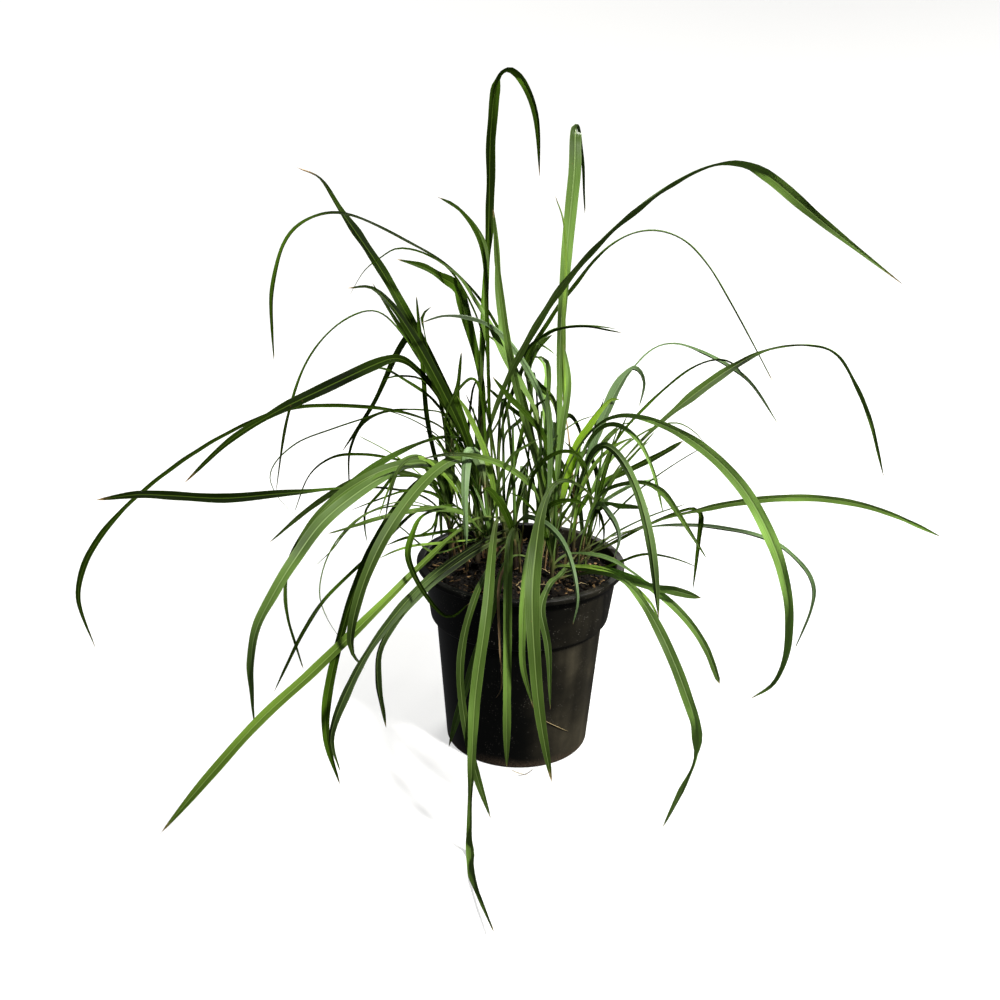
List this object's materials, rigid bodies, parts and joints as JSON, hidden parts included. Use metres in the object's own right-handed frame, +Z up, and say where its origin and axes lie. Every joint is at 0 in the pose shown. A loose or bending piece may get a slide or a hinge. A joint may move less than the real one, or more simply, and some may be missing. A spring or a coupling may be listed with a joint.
{
  "type": "potted lemongrass",
  "caption": "Clump of lemongrass with slender stems and long arching strap leaves, growing in a round black nursery pot of potting mix.",
  "frame": {"origin": "middle of the pot's flat underside, on the surface it stands on", "axes": "+Z up along the pot's axis, -Y towards the side the picture shows, +X to that side's right"},
  "size_m": [0.8668, 0.5596, 0.5993],
  "materials": {
    "leaf_arch_left_fine": "rough satin leaf with fine parallel veins and a pale midrib",
    "leaf_arch_right_big": "rough satin leaf with fine parallel veins and a pale midrib",
    "leaf_arch_right_fine": "rough satin leaf with fine parallel veins and a pale midrib",
    "leaf_arch_right_low": "rough satin leaf with fine parallel veins and a pale midrib",
    "leaf_back_high": "rough satin leaf with fine parallel veins and a pale midrib",
    "leaf_back_left": "rough satin leaf with fine parallel veins and a pale midrib",
    "leaf_back_left_high": "rough satin leaf with fine parallel veins and a pale midrib",
    "leaf_back_middle": "rough satin leaf with fine parallel veins and a pale midrib",
    "leaf_back_right": "rough satin leaf with fine parallel veins and a pale midrib",
    "leaf_back_right_wide": "rough satin leaf with fine parallel veins and a pale midrib",
    "leaf_big_arch_right": "rough satin leaf with fine parallel veins and a pale midrib",
    "leaf_bright_left": "rough satin leaf with fine parallel veins and a pale midrib",
    "leaf_bundle_mid": "rough satin leaf with fine parallel veins and a pale midrib",
    "leaf_bundle_wide": "rough satin leaf with fine parallel veins and a pale midrib",
    "leaf_cross_up": "rough satin leaf with fine parallel veins and a pale midrib",
    "leaf_drape_left": "rough satin leaf with fine parallel veins and a pale midrib",
    "leaf_drape_left_dark": "rough satin leaf with fine parallel veins and a pale midrib",
    "leaf_drop_right_grey": "rough satin leaf with fine parallel veins and a pale midrib",
    "leaf_fold_dark": "rough satin leaf with fine parallel veins and a pale midrib",
    "leaf_front_centre": "rough satin leaf with fine parallel veins and a pale midrib",
    "leaf_front_centre_b": "rough satin leaf with fine parallel veins and a pale midrib",
    "leaf_front_cross": "rough satin leaf with fine parallel veins and a pale midrib",
    "leaf_front_left": "rough satin leaf with fine parallel veins and a pale midrib",
    "leaf_front_long": "rough satin leaf with fine parallel veins and a pale midrib",
    "leaf_front_mid": "rough satin leaf with fine parallel veins and a pale midrib",
    "leaf_grey_left": "rough satin leaf with fine parallel veins and a pale midrib",
    "leaf_level_left": "rough satin leaf with fine parallel veins and a pale midrib",
    "leaf_level_right": "rough satin leaf with fine parallel veins and a pale midrib",
    "leaf_level_right_b": "rough satin leaf with fine parallel veins and a pale midrib",
    "leaf_light_left": "rough satin leaf with fine parallel veins and a pale midrib",
    "leaf_long_left": "rough satin leaf with fine parallel veins and a pale midrib",
    "leaf_loop_left": "rough satin leaf with fine parallel veins and a pale midrib",
    "leaf_over_rim_left": "rough satin leaf with fine parallel veins and a pale midrib",
    "leaf_pale_mid": "rough satin leaf with fine parallel veins and a pale midrib",
    "leaf_reach_left_wide": "rough satin leaf with fine parallel veins and a pale midrib",
    "leaf_reach_right": "rough satin leaf with fine parallel veins and a pale midrib",
    "leaf_rim_right": "rough satin leaf with fine parallel veins and a pale midrib",
    "leaf_rim_right_long": "rough satin leaf with fine parallel veins and a pale midrib",
    "leaf_spear_right": "rough satin leaf with fine parallel veins and a pale midrib",
    "leaf_stripe_left": "rough satin leaf with fine parallel veins and a pale midrib",
    "leaf_tall_mid": "rough satin leaf with fine parallel veins and a pale midrib",
    "leaf_tall_right": "rough satin leaf with fine parallel veins and a pale midrib",
    "pot": "matt black moulded plastic with fine dust",
    "potting_mix": "dark damp crumbs of peat and bark with pale chips",
    "tiller_back": "fibrous sheaths, straw brown at the foot, fine green leaves above",
    "tiller_front_left": "fibrous sheaths, straw brown at the foot, fine green leaves above",
    "tiller_front_right": "fibrous sheaths, straw brown at the foot, fine green leaves above",
    "tiller_left": "fibrous sheaths, straw brown at the foot, fine green leaves above",
    "tiller_left_mid": "fibrous sheaths, straw brown at the foot, fine green leaves above",
    "tiller_middle": "fibrous sheaths, straw brown at the foot, fine green leaves above",
    "tiller_middle_right": "fibrous sheaths, straw brown at the foot, fine green leaves above",
    "tiller_right": "fibrous sheaths, straw brown at the foot, fine green leaves above",
    "tiller_right_back": "fibrous sheaths, straw brown at the foot, fine green leaves above",
    "tiller_right_lean": "fibrous sheaths, straw brown at the foot, fine green leaves above"
  },
  "bodies": {
    "root": {"leaf_arch_left_fine": "leaf_arch_left_fine", "leaf_arch_right_big": "leaf_arch_right_big", "leaf_arch_right_fine": "leaf_arch_right_fine", "leaf_arch_right_low": "leaf_arch_right_low", "leaf_back_high": "leaf_back_high", "leaf_back_left": "leaf_back_left", "leaf_back_left_high": "leaf_back_left_high", "leaf_back_middle": "leaf_back_middle", "leaf_back_right": "leaf_back_right", "leaf_back_right_wide": "leaf_back_right_wide", "leaf_big_arch_right": "leaf_big_arch_right", "leaf_bright_left": "leaf_bright_left", "leaf_bundle_mid": "leaf_bundle_mid", "leaf_bundle_wide": "leaf_bundle_wide", "leaf_cross_up": "leaf_cross_up", "leaf_drape_left": "leaf_drape_left", "leaf_drape_left_dark": "leaf_drape_left_dark", "leaf_drop_right_grey": "leaf_drop_right_grey", "leaf_fold_dark": "leaf_fold_dark", "leaf_front_centre": "leaf_front_centre", "leaf_front_centre_b": "leaf_front_centre_b", "leaf_front_cross": "leaf_front_cross", "leaf_front_left": "leaf_front_left", "leaf_front_long": "leaf_front_long", "leaf_front_mid": "leaf_front_mid", "leaf_grey_left": "leaf_grey_left", "leaf_level_left": "leaf_level_left", "leaf_level_right": "leaf_level_right", "leaf_level_right_b": "leaf_level_right_b", "leaf_light_left": "leaf_light_left", "leaf_long_left": "leaf_long_left", "leaf_loop_left": "leaf_loop_left", "leaf_over_rim_left": "leaf_over_rim_left", "leaf_pale_mid": "leaf_pale_mid", "leaf_reach_left_wide": "leaf_reach_left_wide", "leaf_reach_right": "leaf_reach_right", "leaf_rim_right": "leaf_rim_right", "leaf_rim_right_long": "leaf_rim_right_long", "leaf_spear_right": "leaf_spear_right", "leaf_stripe_left": "leaf_stripe_left", "leaf_tall_mid": "leaf_tall_mid", "leaf_tall_right": "leaf_tall_right", "pot": "pot", "potting_mix": "potting_mix", "tiller_back": "tiller_back", "tiller_front_left": "tiller_front_left", "tiller_front_right": "tiller_front_right", "tiller_left": "tiller_left", "tiller_left_mid": "tiller_left_mid", "tiller_middle": "tiller_middle", "tiller_middle_right": "tiller_middle_right", "tiller_right": "tiller_right", "tiller_right_back": "tiller_right_back", "tiller_right_lean": "tiller_right_lean"}
  },
  "joints": []
}
